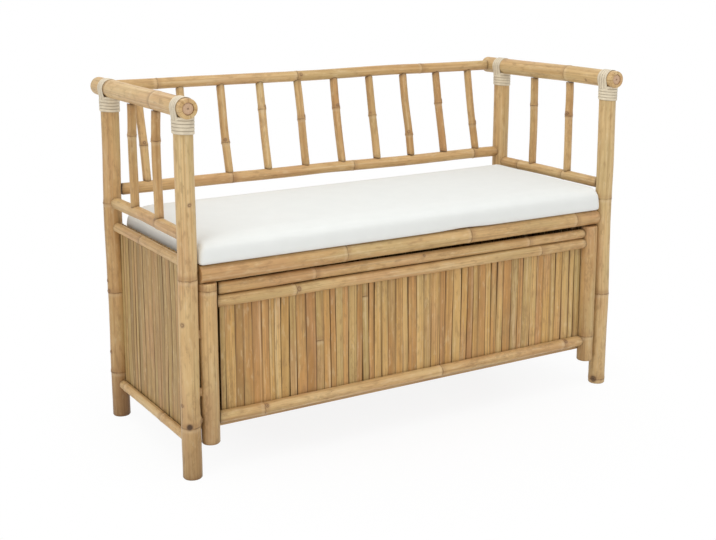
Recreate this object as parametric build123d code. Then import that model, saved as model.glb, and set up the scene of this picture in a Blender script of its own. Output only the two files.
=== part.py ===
from build123d import *
from itertools import combinations
from math import pi, sin, sqrt
import os

# Garden storage bench of round bamboo poles, split slats and cane lashings, with a hinged seat lid.
# Millimetres. X runs along the seat, Y from front to back, Z up from the floor.

# Posts and arms
post_span_x = 1055.0
post_span_y = 394.0
post_diameter = 39.0
arm_diameter = 39.0
arm_front_overhang = 28.0
arm_rear_overhang = 63.0
arm_seat_depth = 3.5
plug_diameter = 23.0
plug_length = 12.0
plug_recess = 0.6

# Heights: the seat is the top of the lid, and the rails above it stand on that height
seat_height = 427.0
arm_rise = 305.0
back_rail_rise = 85.0
arm_side_rail_rise = 59.0
side_top_rail_rise = 6.0
side_bottom_rail_height = 76.0
panel_bottom_rail_height = 113.0
stile_foot_height = 64.0

# Poles
back_top_rail_diameter = 25.0
back_lower_rail_diameter = 26.0
back_lean = 45.0
spindle_diameter = 19.0
back_spindle_count = 10
back_spindle_inset = 80.0
arm_side_rail_diameter = 25.0
side_rail_diameter = 21.0
stile_diameter = 38.0
stile_gap = 2.5
panel_rail_diameter = 25.0
rear_top_rail_diameter = 30.0
ledger_size = 22.0
node_swell = 0.9
node_reach = 6.0

# Loose tenons that tie the front panel's stiles to the posts
tenon_thickness = 8.0
tenon_height = 16.0
tenon_length = 30.0
tenon_inset = 60.0

# Split bamboo slats
slat_thickness = 6.0
slat_width = 18.0
slat_gap = 1.2
slat_variation = 0.3
slat_wander = 2.4
slat_seat = 2.0
slat_lap = 10.0
board_width = 60.0

# Lid
lid_front_rail_diameter = 36.0
lid_batten_width = 30.0
lid_batten_height = 26.0
lid_end_gap = 4.0
lid_end_inset = 4.0
lid_rest_gap = 0.3
upper_rail_drop = 2.0
rail_stack_gap = 0.5

# Butt hinges between the lid's rear batten and the bench's rear top rail
hinge_width = 50.0
hinge_inset = 165.0
hinge_rise = 13.0
hinge_reach = 0.5
knuckle_diameter = 7.0
hinge_pin_diameter = 3.0
pin_clearance = 0.05
leaf_thickness = 1.5
leaf_length = 21.5
knuckle_gap = 0.3

# Cane lashings at the arm joints
cane_thickness = 2.0
cane_width = 6.4
cane_gap = 0.8
cane_turns = 3
strap_thickness = 1.5
strap_width = 10.0
strap_gap = 0.6
strap_count = 3
strap_to_binding = 0.3

# Loose seat cushion
cushion_end_gap = 8.0
cushion_rear_gap = 9.0
cushion_edge_height = 45.0
cushion_crown = 4.0
cushion_side_bulge = 9.0
cushion_draw_in = 4.0
cushion_end_round = 14.0

# Fits
joint_gap = 0.15
touch_gap = 0.05
winding_gap = 0.2
soft_gap = 0.3

# Places worked out from the sizes above
post_x = post_span_x / 2
post_radius = post_diameter / 2
arm_radius = arm_diameter / 2
arm_half = (post_span_y + arm_front_overhang + arm_rear_overhang) / 2
front_y = arm_front_overhang - arm_half
rear_y = arm_half - arm_rear_overhang
middle_y = (front_y + rear_y) / 2
arm_z = seat_height + arm_rise
post_top = arm_z - arm_radius + arm_seat_depth
back_rail_z = seat_height + back_rail_rise
back_top_y = rear_y + back_lean
arm_side_z = seat_height + arm_side_rail_rise
side_top_z = seat_height + side_top_rail_rise
lid_rail_z = seat_height - lid_front_rail_diameter / 2
lid_underside = seat_height - lid_front_rail_diameter
upper_rail_z = lid_underside - upper_rail_drop - panel_rail_diameter / 2
slat_rail_z = upper_rail_z - panel_rail_diameter - rail_stack_gap
stile_top = lid_underside - lid_rest_gap
stile_x = post_x - post_radius - stile_gap - stile_diameter / 2
lid_half = post_x - post_radius - lid_end_gap
board_seat = seat_height - slat_thickness
cane_pitch = cane_width + cane_gap

os.makedirs("parts", exist_ok=True)


def save(name, *solids):
    export_step(solids[0] if len(solids) == 1 else Compound(solids), f"parts/{name}.step")


def cylinder_along(point, direction, diameter, length):
    return Plane(origin=point, z_dir=direction) * Cylinder(diameter / 2, length)


# A pole is turned from one outline: straight between its nodes, with a flare up to each sheath scar.
def pole(start, end, diameter, nodes=()):
    start, end = Vector(start), Vector(end)
    length = (end - start).length
    radius = diameter / 2
    outline = [(0, 0), (radius, 0)]
    for along in nodes:
        outline += [(radius, along - node_reach), (radius + node_swell, along), (radius, along)]
    outline += [(radius, length), (0, length)]
    profile = Plane.XZ * make_face(Polyline(outline, close=True))
    return Plane(origin=start, z_dir=end - start) * revolve(profile, Axis.Z)


# A pole's end is hollowed to the round of the pole that it meets.
def mouth(piece, point, direction, diameter):
    reach = 4 * diameter
    return piece - cylinder_along(point, direction, diameter + 2 * joint_gap, reach)


def box_between(low, high):
    size = Vector(high) - Vector(low)
    return Pos(*((Vector(low) + Vector(high)) / 2)) * Box(abs(size.X), abs(size.Y), abs(size.Z))


def side_name(side):
    return "left" if side < 0 else "right"


def row_name(y):
    return "front" if y < middle_y else "rear"


# Posts: cut flat on the floor, with a shallow mouth under the arm and mortises towards the stiles
front_post_node = {"left": side_bottom_rail_height + post_diameter, "right": (side_top_z + arm_side_z) / 2}
tenon_places = (panel_bottom_rail_height + tenon_inset, slat_rail_z - tenon_inset)
tenon_x = (post_x + stile_x) / 2


def tenons(side, clearance=0.0):
    grow = 2 * clearance
    block = Box(tenon_length + grow, tenon_thickness + grow, tenon_height + grow)
    return [Pos(side * tenon_x, front_y, height) * block for height in tenon_places]


for side in (-1, 1):
    for y in (front_y, rear_y):
        nodes = [front_post_node[side_name(side)]] if y == front_y else []
        post = pole((side * post_x, y, 0), (side * post_x, y, post_top), post_diameter, nodes)
        post = mouth(post, (side * post_x, y, arm_z), (0, 1, 0), arm_diameter)
        if y == front_y:
            post -= tenons(side, touch_gap)
        save(f"post_{row_name(y)}_{side_name(side)}", post)

# Arms: long poles laid over the posts, their hollow front ends closed with plugs
plug_bore_depth = plug_length + plug_recess
plugs = []
for side in (-1, 1):
    ends = [(side * post_x, -arm_half, arm_z), (side * post_x, arm_half, arm_z)]
    arm = pole(*ends, arm_diameter)
    bore_y = plug_bore_depth / 2 - arm_half
    arm -= cylinder_along((side * post_x, bore_y, arm_z), (0, 1, 0), plug_diameter, plug_bore_depth)
    plug_y = plug_recess + plug_length / 2 - arm_half
    plug_size = plug_diameter - 2 * touch_gap
    plugs += cylinder_along((side * post_x, plug_y, arm_z), (0, 1, 0), plug_size, plug_length).solids()
    save(f"arm_rail_{side_name(side)}", arm)
save("arm_end_plugs", *plugs)


# Lashings: straps of split cane over the arm, and one cane wound round the post below them
def helix_point(radius, turn):
    return Vector(radius, 0, cane_pitch * turn).rotate(Axis.Z, 360 * turn)


def helix_tangent(radius, turn):
    return Vector(0, radius, cane_pitch / (2 * pi)).normalized().rotate(Axis.Z, 360 * turn)


def biarc(start, start_tangent, end, end_tangent):
    span = end - start
    both = start_tangent + end_tangent
    spread = 2 * (1 - start_tangent.dot(end_tangent))
    reach = (sqrt(span.dot(both) ** 2 + spread * span.dot(span)) - span.dot(both)) / spread
    join = (start + start_tangent * reach + end - end_tangent * reach) * 0.5
    first = Edge.make_tangent_arc(start, start_tangent, join)
    return [first, Edge.make_tangent_arc(join, first % 1, end)]


samples_per_turn = 120


def winding():
    radius = post_radius + winding_gap + cane_thickness / 2
    half_turns = [step / 2 for step in range(2 * cane_turns + 1)]
    points = [helix_point(radius, turn) for turn in half_turns]
    tangents = [helix_tangent(radius, turn) for turn in half_turns]
    tail_start = points[0] - tangents[0] * cane_width
    tail_end = points[-1] + tangents[-1] * cane_width
    edges = [Edge.make_line(tail_start, points[0])]
    for i in range(len(points) - 1):
        edges += biarc(points[i], tangents[i], points[i + 1], tangents[i + 1])
    edges.append(Edge.make_line(points[-1], tail_end))
    path = Wire(edges)
    section_plane = Plane(origin=tail_start, x_dir=(1, 0, 0), z_dir=tangents[0])
    section = section_plane * Rectangle(cane_thickness, cane_width)
    core = Edge.make_line((0, 0, tail_start.Z), (0, 0, tail_end.Z))
    sample_count = samples_per_turn * cane_turns
    samples = [path.position_at(step / sample_count) for step in range(sample_count + 1)]
    apart = [
        (samples[a] - samples[b]).length
        for a, b in combinations(range(len(samples)), 2)
        if b - a > samples_per_turn / 2
    ]
    print(f"winding: least gap to itself {min(apart) - cane_width:.2f} mm")
    return sweep(section, path, binormal=core)


binding = winding()
binding_top = arm_z - arm_radius - strap_thickness
binding_base = binding_top - binding.bounding_box().max.Z
strap_inner = max(arm_radius, post_radius) + joint_gap
strap_outer = strap_inner + strap_thickness
strap_foot = binding_top + strap_to_binding


def strap():
    ring = Circle(strap_outer) - Circle(strap_inner)
    arch = ring & Pos(0, strap_outer / 2) * Rectangle(2 * strap_outer, strap_outer)
    leg_length = arm_z - strap_foot
    leg_x = (strap_inner + strap_outer) / 2
    for end in (-1, 1):
        arch += Pos(end * leg_x, -leg_length / 2) * Rectangle(strap_thickness, leg_length)
    return extrude(Plane.XZ * arch, strap_width / 2, both=True)


strap_pitch = strap_width + strap_gap
strap_places = [strap_pitch * (i - (strap_count - 1) / 2) for i in range(strap_count)]
post_places = [(side * post_x, y) for side in (-1, 1) for y in (front_y, rear_y)]
bindings = [
    Pos(x, y, binding_base) * Rot(0, 0, 0 if x > 0 else 180) * binding.solid()
    for x, y in post_places
]
save("cane_bindings", *bindings)
straps = [Pos(x, y + place, arm_z) * strap().solid() for x, y in post_places for place in strap_places]
save("cane_saddle_straps", *straps)

# Arm sides: a rail between the posts and two spindles up to the arm
for side in (-1, 1):
    x = side * post_x
    rail = pole((x, front_y, arm_side_z), (x, rear_y, arm_side_z), arm_side_rail_diameter)
    for y in (front_y, rear_y):
        rail = mouth(rail, (x, y, arm_side_z), (0, 0, 1), post_diameter)
    save(f"arm_side_rail_{side_name(side)}", rail)
    for y in (middle_y - post_span_y / 6, middle_y + post_span_y / 6):
        spindle = pole((x, y, arm_side_z), (x, y, arm_z), spindle_diameter)
        spindle = mouth(spindle, (x, y, arm_side_z), (0, 1, 0), arm_side_rail_diameter)
        spindle = mouth(spindle, (x, y, arm_z), (0, 1, 0), arm_diameter)
        save(f"arm_spindle_{row_name(y)}_{side_name(side)}", spindle)

# Back: a lower rail between the rear posts, a top rail between the arms, and leaning spindles
lower_rail = pole((-post_x, rear_y, back_rail_z), (post_x, rear_y, back_rail_z), back_lower_rail_diameter)
top_rail = pole((-post_x, back_top_y, arm_z), (post_x, back_top_y, arm_z), back_top_rail_diameter)
for side in (-1, 1):
    lower_rail = mouth(lower_rail, (side * post_x, rear_y, back_rail_z), (0, 0, 1), post_diameter)
    top_rail = mouth(top_rail, (side * post_x, back_top_y, arm_z), (0, 1, 0), arm_diameter)
save("back_lower_rail", lower_rail)
save("back_top_rail", top_rail)
back_spindle_pitch = (post_span_x - 2 * back_spindle_inset) / (back_spindle_count - 1)
for i in range(back_spindle_count):
    x = back_spindle_inset - post_x + back_spindle_pitch * i
    low, high = (x, rear_y, back_rail_z), (x, back_top_y, arm_z)
    spindle = pole(low, high, spindle_diameter)
    spindle = mouth(spindle, low, (1, 0, 0), back_lower_rail_diameter)
    spindle = mouth(spindle, high, (1, 0, 0), back_top_rail_diameter)
    save(f"back_spindle_{i + 1:02d}", spindle)


# Slats: split bamboo in uneven widths that fill the panel
def slat_places(zone, mean_width):
    count = max(1, round(zone / mean_width))
    weights = [1 + slat_variation * sin(slat_wander * i * i) for i in range(count)]
    unit = (zone - slat_gap * (count - 1)) / sum(weights)
    places = []
    edge = -zone / 2
    for weight in weights:
        places.append((edge + unit * weight / 2, unit * weight))
        edge += unit * weight + slat_gap
    return places


# Side panels: two rails between the posts, planed inside, with slats behind them
side_zone = post_span_y - post_diameter - 2 * slat_gap
slat_face = slat_seat + touch_gap
slat_back = slat_face + slat_thickness
side_slat_low = side_bottom_rail_height - slat_lap
for side in (-1, 1):
    x = side * post_x
    planed = box_between(
        (side * (post_x - slat_seat), front_y, 0), (side * (post_x - side_rail_diameter), rear_y, post_top)
    )
    for level, height in (("top", side_top_z), ("bottom", side_bottom_rail_height)):
        rail = pole((x, front_y, height), (x, rear_y, height), side_rail_diameter)
        for y in (front_y, rear_y):
            rail = mouth(rail, (x, y, height), (0, 0, 1), post_diameter)
        save(f"side_{level}_rail_{side_name(side)}", rail - planed)
    slats = [
        box_between(
            (side * (post_x - slat_face), middle_y + place - width / 2, side_slat_low),
            (side * (post_x - slat_back), middle_y + place + width / 2, side_top_z + slat_lap),
        )
        for place, width in slat_places(side_zone, slat_width)
    ]
    save(f"side_slats_{side_name(side)}", *slats)

# Front panel: two stiles tenoned to the posts, three rails, and slats behind the lower two
loose_tenons = []
for side in (-1, 1):
    x = side * stile_x
    stile = pole((x, front_y, stile_foot_height), (x, front_y, stile_top), stile_diameter)
    save(f"front_stile_{side_name(side)}", stile - tenons(side, touch_gap))
    loose_tenons += tenons(side)
save("front_panel_tenons", *loose_tenons)

planed = box_between(
    (-stile_x, front_y + slat_seat, 0),
    (stile_x, front_y + panel_rail_diameter, slat_rail_z + panel_rail_diameter / 2),
)
front_rails = {
    "front_upper_rail": upper_rail_z,
    "front_slat_rail": slat_rail_z,
    "front_bottom_rail": panel_bottom_rail_height,
}
for name, height in front_rails.items():
    rail = pole((-stile_x, front_y, height), (stile_x, front_y, height), panel_rail_diameter)
    for side in (-1, 1):
        rail = mouth(rail, (side * stile_x, front_y, height), (0, 0, 1), stile_diameter)
    save(name, rail if name == "front_upper_rail" else rail - planed)
slat_low = panel_bottom_rail_height - slat_lap
front_zone = 2 * stile_x - stile_diameter - 2 * slat_gap
front_slats = [
    box_between(
        (place - width / 2, front_y + slat_face, slat_low),
        (place + width / 2, front_y + slat_back, slat_rail_z + slat_lap),
    )
    for place, width in slat_places(front_zone, slat_width)
]
save("front_slats", *front_slats)

# Rear panel: a round top rail that carries the hinges, and two planed rails with slats inside
rear_top_z = seat_height - hinge_rise - knuckle_diameter / 2 - touch_gap
rear_slat_z = rear_top_z - (rear_top_rail_diameter + panel_rail_diameter) / 2 - rail_stack_gap
hinge_z = rear_top_z + hinge_rise
hinge_y = rear_y - rear_top_rail_diameter / 2 - hinge_reach
hinge_places = (hinge_inset - lid_half, lid_half - hinge_inset)
leaf_face = knuckle_diameter / 2


def rear_rail(height, diameter):
    rail = pole((-post_x, rear_y, height), (post_x, rear_y, height), diameter)
    for side in (-1, 1):
        rail = mouth(rail, (side * post_x, rear_y, height), (0, 0, 1), post_diameter)
    return rail


leaf_mortises = [
    box_between(
        (x - hinge_width / 2 - touch_gap, rear_y - rear_top_rail_diameter, 0),
        (x + hinge_width / 2 + touch_gap, hinge_y + leaf_face, arm_z),
    )
    for x in hinge_places
]
planed = box_between(
    (-post_x, rear_y - panel_rail_diameter, 0),
    (post_x, rear_y - slat_seat, rear_slat_z + panel_rail_diameter / 2),
)
save("rear_top_rail", rear_rail(rear_top_z, rear_top_rail_diameter) - leaf_mortises)
save("rear_slat_rail", rear_rail(rear_slat_z, panel_rail_diameter) - planed)
save("rear_bottom_rail", rear_rail(panel_bottom_rail_height, panel_rail_diameter) - planed)
rear_zone = post_span_x - post_diameter - 2 * slat_gap
rear_slats = [
    box_between(
        (place - width / 2, rear_y - slat_back, slat_low),
        (place + width / 2, rear_y - slat_face, rear_slat_z + slat_lap),
    )
    for place, width in slat_places(rear_zone, board_width)
]
save("rear_slats", *rear_slats)

# Box floor: a ledger behind the slats of each long panel, with boards from one to the other
floor_seat = panel_bottom_rail_height
ledger_front = front_y + slat_back
ledger_rear = rear_y - slat_back
for row, low, high in (
    ("front", ledger_front, ledger_front + ledger_size),
    ("rear", ledger_rear - ledger_size, ledger_rear),
):
    ledger = box_between((-lid_half, low, floor_seat - ledger_size), (lid_half, high, floor_seat))
    for side in (-1, 1):
        ledger = mouth(ledger, (side * stile_x, front_y, floor_seat), (0, 0, 1), stile_diameter)
    save(f"floor_ledger_{row}", ledger)
floor_low = front_y + max(slat_back, stile_diameter / 2) + soft_gap
floor_boards = [
    box_between(
        (x - width / 2, floor_low, floor_seat),
        (x + width / 2, ledger_rear - soft_gap, floor_seat + slat_thickness),
    )
    for x, width in slat_places(2 * lid_half, board_width)
]
save("floor_boards", *floor_boards)

# Lid: a thick front rail and battens round the other sides, with boards let into the rail
batten_low = board_seat - lid_batten_height
batten_rear = hinge_y - leaf_face
batten_front = batten_rear - lid_batten_width
lid_end_x = lid_half - lid_end_inset
board_front = front_y + slat_seat
rebate = box_between((-lid_half, board_front, board_seat), (lid_half, hinge_y, seat_height))
rail_ends = [(-lid_half, front_y, lid_rail_z), (lid_half, front_y, lid_rail_z)]
save("lid_front_rail", pole(*rail_ends, lid_front_rail_diameter) - rebate)
rear_batten = box_between((-lid_end_x, batten_front, batten_low), (lid_end_x, batten_rear, board_seat))
save("lid_rear_batten", rear_batten)
end_inner = lid_end_x - lid_batten_width
for side in (-1, 1):
    end_batten = box_between(
        (side * lid_end_x, front_y, batten_low), (side * end_inner, batten_front, board_seat)
    )
    rail_point = (side * lid_end_x, front_y, lid_rail_z)
    end_batten = mouth(end_batten, rail_point, (1, 0, 0), lid_front_rail_diameter)
    save(f"lid_end_batten_{side_name(side)}", end_batten)
bearer_y = (front_y + batten_front) / 2
bearer = box_between(
    (-end_inner, bearer_y - lid_batten_width / 2, batten_low),
    (end_inner, bearer_y + lid_batten_width / 2, board_seat),
)
save("lid_bearer", bearer)
lid_boards = [
    box_between(
        (x - width / 2, board_front + touch_gap, board_seat),
        (x + width / 2, batten_rear - slat_seat, seat_height),
    )
    for x, width in slat_places(2 * lid_half - 2 * slat_gap, board_width)
]
save("lid_boards", *lid_boards)

# Hinges: one leaf on the rear rail and one on the lid, each curled into a knuckle round the pin
knuckle_length = (hinge_width - knuckle_gap) / 2
knuckle_offset = (knuckle_length + knuckle_gap) / 2


def leaf(x, knuckle_x, direction):
    inner = hinge_y + direction * (leaf_face - leaf_thickness)
    outer = hinge_y + direction * leaf_face
    plate_top = hinge_z - leaf_face - knuckle_gap
    plate = box_between(
        (x - hinge_width / 2, inner, hinge_z - leaf_length), (x + hinge_width / 2, outer, plate_top)
    )
    plate += box_between(
        (knuckle_x - knuckle_length / 2, inner, hinge_z - leaf_length),
        (knuckle_x + knuckle_length / 2, outer, hinge_z),
    )
    plate += cylinder_along((knuckle_x, hinge_y, hinge_z), (1, 0, 0), knuckle_diameter, knuckle_length)
    bore = hinge_pin_diameter + 2 * pin_clearance
    return plate - cylinder_along((x, hinge_y, hinge_z), (1, 0, 0), bore, 2 * hinge_width)


def pin(x):
    return cylinder_along((x, hinge_y, hinge_z), (1, 0, 0), hinge_pin_diameter, hinge_width)


save("hinge_fixed_leaves", *[leaf(x, x - knuckle_offset, 1) for x in hinge_places])
save("hinge_lid_leaves", *[leaf(x, x + knuckle_offset, -1) for x in hinge_places])
save("hinge_pins", *[pin(x) for x in hinge_places])

# Cushion: sections along the seat, each with a flat base, round sides and a crowned top
cushion_base = seat_height + soft_gap
cushion_width = post_span_x - post_diameter - 2 * cushion_end_gap
cushion_front = front_y - lid_front_rail_diameter / 2
cushion_rear = rear_y - back_lower_rail_diameter / 2 - cushion_rear_gap
cushion_depth = cushion_rear - cushion_front
cushion_y = (cushion_front + cushion_rear) / 2


def cushion_section(share):
    ease = max(0.0, 1 - (1 - abs(share)) * cushion_width / 2 / cushion_end_round)
    half = cushion_depth / 2 - cushion_draw_in * (1 - share * share) - cushion_end_round * ease * ease
    rise = cushion_edge_height - cushion_end_round * ease * ease
    crown = cushion_crown * (1 - share * share) + touch_gap
    base_half = half - cushion_side_bulge
    x = share * cushion_width / 2
    base, top = cushion_base, cushion_base + rise
    corners = [(x, cushion_y + end * base_half, z) for end, z in ((-1, base), (1, base), (1, top), (-1, top))]
    side_z = base + rise / 2
    return Wire([
        Edge.make_line(corners[0], corners[1]),
        Edge.make_three_point_arc(corners[1], (x, cushion_y + half, side_z), corners[2]),
        Edge.make_three_point_arc(corners[2], (x, cushion_y, top + crown), corners[3]),
        Edge.make_three_point_arc(corners[3], (x, cushion_y - half, side_z), corners[0]),
    ])


end_shares = [1 - 2 * cushion_end_round * part / cushion_width for part in (0, 0.4, 1)]
cushion_shares = [-s for s in end_shares] + [-0.5, 0, 0.5] + end_shares[::-1]
save("cushion", Solid.make_loft([cushion_section(share) for share in cushion_shares], ruled=True))
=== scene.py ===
"""A garden storage bench of bamboo poles, split slats and cane lashings, with one loose seat cushion."""
import math
import random

import bmesh
import bpy
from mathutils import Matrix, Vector


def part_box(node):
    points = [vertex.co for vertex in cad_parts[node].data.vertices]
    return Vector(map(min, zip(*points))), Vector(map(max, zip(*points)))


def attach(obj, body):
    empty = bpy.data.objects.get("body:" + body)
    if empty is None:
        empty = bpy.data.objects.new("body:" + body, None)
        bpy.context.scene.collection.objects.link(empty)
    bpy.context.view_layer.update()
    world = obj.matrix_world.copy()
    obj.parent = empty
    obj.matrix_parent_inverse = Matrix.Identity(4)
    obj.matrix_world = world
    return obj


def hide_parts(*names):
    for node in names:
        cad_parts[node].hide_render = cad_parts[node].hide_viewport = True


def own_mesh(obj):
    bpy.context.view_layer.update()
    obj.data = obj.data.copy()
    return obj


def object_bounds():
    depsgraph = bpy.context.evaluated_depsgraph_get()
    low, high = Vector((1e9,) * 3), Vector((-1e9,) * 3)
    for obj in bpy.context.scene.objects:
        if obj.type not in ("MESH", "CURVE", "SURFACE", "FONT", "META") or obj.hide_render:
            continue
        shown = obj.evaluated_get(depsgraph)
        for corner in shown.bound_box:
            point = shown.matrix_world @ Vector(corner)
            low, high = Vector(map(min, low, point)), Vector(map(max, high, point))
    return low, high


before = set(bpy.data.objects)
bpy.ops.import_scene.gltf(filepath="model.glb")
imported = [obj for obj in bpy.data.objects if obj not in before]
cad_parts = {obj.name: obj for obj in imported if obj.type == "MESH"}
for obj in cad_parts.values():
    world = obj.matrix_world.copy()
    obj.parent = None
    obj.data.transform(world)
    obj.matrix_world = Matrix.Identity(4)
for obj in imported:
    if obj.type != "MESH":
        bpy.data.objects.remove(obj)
cad_low, cad_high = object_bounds()


# Camera
# The bench is seen from its front left, a little above the arms, through a slightly shifted lens
# that keeps its posts nearly upright in the picture.
def in_scene(name, data):
    """A new object that holds the data, linked to the scene."""
    made = bpy.data.objects.new(name, data)
    bpy.context.scene.collection.objects.link(made)
    return made


picture_width = 716
focal_pixels = 1202.1
sensor_width = 36.0
camera_yaw = math.radians(31.287)
camera_pitch = math.radians(11.311)
camera_lens = bpy.data.cameras.new("camera")
camera_lens.sensor_width = sensor_width
camera_lens.lens = sensor_width * focal_pixels / picture_width
camera_lens.shift_y = -0.098
camera = in_scene("camera", camera_lens)
camera.location = (-1.401, -2.279, 1.001)
camera.rotation_euler = (math.pi / 2 - camera_pitch, 0, -camera_yaw)
bpy.context.scene.camera = camera
bpy.context.scene.view_settings.view_transform = "Standard"


# Floor and light
# A white studio floor in a nearly even white tent of light, with one large soft lamp overhead, a weaker
# one at the left and a faint one at the right. The floor looks white and keeps the bench's shadow.
class Amount:
    """One output of a node. Plain arithmetic on it adds Math nodes, or Vector Math nodes for a vector."""

    def __init__(self, node, output=0):
        self.node, self.output = node, output
        self.tree = node.id_data

    def out(self, output):
        """Another output of the same node."""
        return Amount(self.node, output)

    def __add__(self, other):
        return reckon("ADD", self, other)

    def __sub__(self, other):
        return reckon("SUBTRACT", self, other)

    def __rsub__(self, other):
        return reckon("SUBTRACT", other, self)

    def __mul__(self, other):
        if is_vector(self) == is_vector(other):
            return reckon("MULTIPLY", self, other)
        vector, number = (self, other) if is_vector(self) else (other, self)
        return put(self.tree, "ShaderNodeVectorMath", {0: vector, "Scale": number}, operation="SCALE")

    def __truediv__(self, other):
        return reckon("DIVIDE", self, other)

    def __pow__(self, other):
        return reckon("POWER", self, other)

    def __abs__(self):
        return reckon("ABSOLUTE", self)

    def __lt__(self, other):
        return reckon("LESS_THAN", self, other)

    def __gt__(self, other):
        return reckon("GREATER_THAN", self, other)


def is_vector(value):
    if isinstance(value, Amount):
        return value.node.outputs[value.output].type in ("VECTOR", "RGBA")
    return isinstance(value, tuple)


def tree_of(*values):
    """The node tree that the first amount among some values belongs to."""
    return next(value.tree for value in values if isinstance(value, Amount))


def connect(socket, value):
    """Links an amount to a node's input, or sets the input to a plain value."""
    if isinstance(value, Amount):
        value.tree.links.new(value.node.outputs[value.output], socket)
    else:
        socket.default_value = value


def put(tree, kind, inputs=None, output=0, **settings):
    """Adds one node with its settings, links or sets its inputs, and gives one of its outputs."""
    node = tree.nodes.new(kind)
    for name, value in settings.items():
        setattr(node, name, value)
    for key, value in (inputs or {}).items():
        connect(node.inputs[key], value)
    return Amount(node, output)


def reckon(operation, *values):
    """A Math node on amounts and plain numbers, or a Vector Math node where one of them is a vector."""
    kind = "ShaderNodeVectorMath" if any(is_vector(value) for value in values) else "ShaderNodeMath"
    output = "Value" if operation in ("DOT_PRODUCT", "LENGTH", "DISTANCE") else 0
    return put(tree_of(*values), kind, dict(enumerate(values)), output, operation=operation)


def mapped(value, low, high, first=0.0, last=1.0, **settings):
    """The first value at low, the last at high, in between evenly or as the settings say."""
    inputs = {"Value": value, 1: low, 2: high, 3: first, 4: last}
    return put(value.tree, "ShaderNodeMapRange", inputs, **settings)


def seen_directly(tree):
    """1 where the camera, a mirror or glass looks at a surface, 0 for the light that it throws on."""
    rays = put(tree, "ShaderNodeLightPath")
    mirrored = reckon("MAXIMUM", rays.out("Is Glossy Ray"), rays.out("Is Transmission Ray"))
    return reckon("MAXIMUM", rays.out("Is Camera Ray"), mirrored)


def blank_tree(owner):
    owner.use_nodes = True
    owner.node_tree.nodes.clear()
    return owner.node_tree


white = (1, 1, 1, 1)
surround_strength = 0.62
world = bpy.data.worlds.new("white surround")
bpy.context.scene.world = world
sky = blank_tree(world)
sky_level = put(sky, "ShaderNodeMix", {"Factor": seen_directly(sky), "A": surround_strength, "B": 1.0})
sky_light = put(sky, "ShaderNodeBackground", {"Color": white, "Strength": sky_level})
put(sky, "ShaderNodeOutputWorld", {"Surface": sky_light})

floor_glow = 0.88
fade_from, fade_to = 0.3, 0.75
floor_reach = 12.0
floor_paint = bpy.data.materials.new("studio floor")
paint = blank_tree(floor_paint)
matt = put(paint, "ShaderNodeBsdfDiffuse", {"Color": (0.92, 0.92, 0.92, 1)})
glow = put(paint, "ShaderNodeEmission", {"Color": white, "Strength": 1.0})
floor_far = reckon("LENGTH", put(paint, "ShaderNodeTexCoord", output="Object"))
share = seen_directly(paint) * mapped(floor_far, fade_from, fade_to, floor_glow)
mixed = put(paint, "ShaderNodeMixShader", {0: share, 1: matt, 2: glow})
put(paint, "ShaderNodeOutputMaterial", {"Surface": mixed})
floor_mesh = bpy.data.meshes.new("studio_floor")
floor_corners = [(x * floor_reach, y * floor_reach, 0) for x, y in ((-1, -1), (1, -1), (1, 1), (-1, 1))]
floor_mesh.from_pydata(floor_corners, [], [(0, 1, 2, 3)])
floor_mesh.materials.append(floor_paint)
in_scene("studio_floor", floor_mesh)


def soft_lamp(name, place, aim, width, watts):
    light = bpy.data.lights.new(name, "AREA")
    light.shape = "SQUARE"
    light.size = width
    light.energy = watts
    lamp = in_scene(name, light)
    lamp.location = place
    lamp.rotation_euler = (aim - Vector(place)).to_track_quat("-Z", "Y").to_euler()


bench_middle = (cad_low + cad_high) / 2
soft_lamp("overhead_lamp", (-0.5, -0.6, 3.1), bench_middle, 2.4, 40)
soft_lamp("left_lamp", (-3.0, -1.6, 1.1), bench_middle, 1.8, 16)
soft_lamp("right_lamp", (2.1, -2.5, 1.6), bench_middle, 2.0, 11)


# Posts
# Four thick bamboo culms stand on the floor, one at each corner, and reach up to the arms. A culm is
# straight between its nodes, swells to a sheath scar at each, and is a little bowed along its length.
def positive(value):
    """The value, or 0 where it is below."""
    return reckon("MAXIMUM", value, 0.0)


def dot(first, second):
    return reckon("DOT_PRODUCT", first, second)


def join_axes(x, y, z):
    return put(tree_of(x, y, z), "ShaderNodeCombineXYZ", {0: x, 1: y, 2: z})


def axes(vector):
    """The x, y and z of a vector."""
    split = put(vector.tree, "ShaderNodeSeparateXYZ", {0: vector})
    return split.out(0), split.out(1), split.out(2)


def begin_tree(name, sizes):
    """A Geometry Nodes tree with named inputs for a piece's sizes and material: gives it and its inputs."""
    tree = bpy.data.node_groups.new(name, "GeometryNodeTree")
    tree.interface.new_socket("Geometry", in_out="OUTPUT", socket_type="NodeSocketGeometry")
    tree.interface.new_socket("Geometry", in_out="INPUT", socket_type="NodeSocketGeometry")
    kinds = {float: "NodeSocketFloat", int: "NodeSocketInt", tuple: "NodeSocketVector"}
    for label, value in sizes.items():
        socket = tree.interface.new_socket(label, in_out="INPUT", socket_type=kinds[type(value)])
        socket.default_value = value
    tree.interface.new_socket("Material", in_out="INPUT", socket_type="NodeSocketMaterial")
    entry = tree.nodes.new("NodeGroupInput")
    return tree, {label: Amount(entry, label) for label in ("Geometry", *sizes, "Material")}


def end_tree(geometry, material):
    tree = geometry.tree
    whole = put(tree, "GeometryNodeRealizeInstances", {"Geometry": geometry})
    smooth = put(tree, "GeometryNodeSetShadeSmooth", {"Geometry": whole})
    dressed = put(tree, "GeometryNodeSetMaterial", {"Geometry": smooth, "Material": material})
    put(tree, "NodeGroupOutput", {0: dressed})


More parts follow.
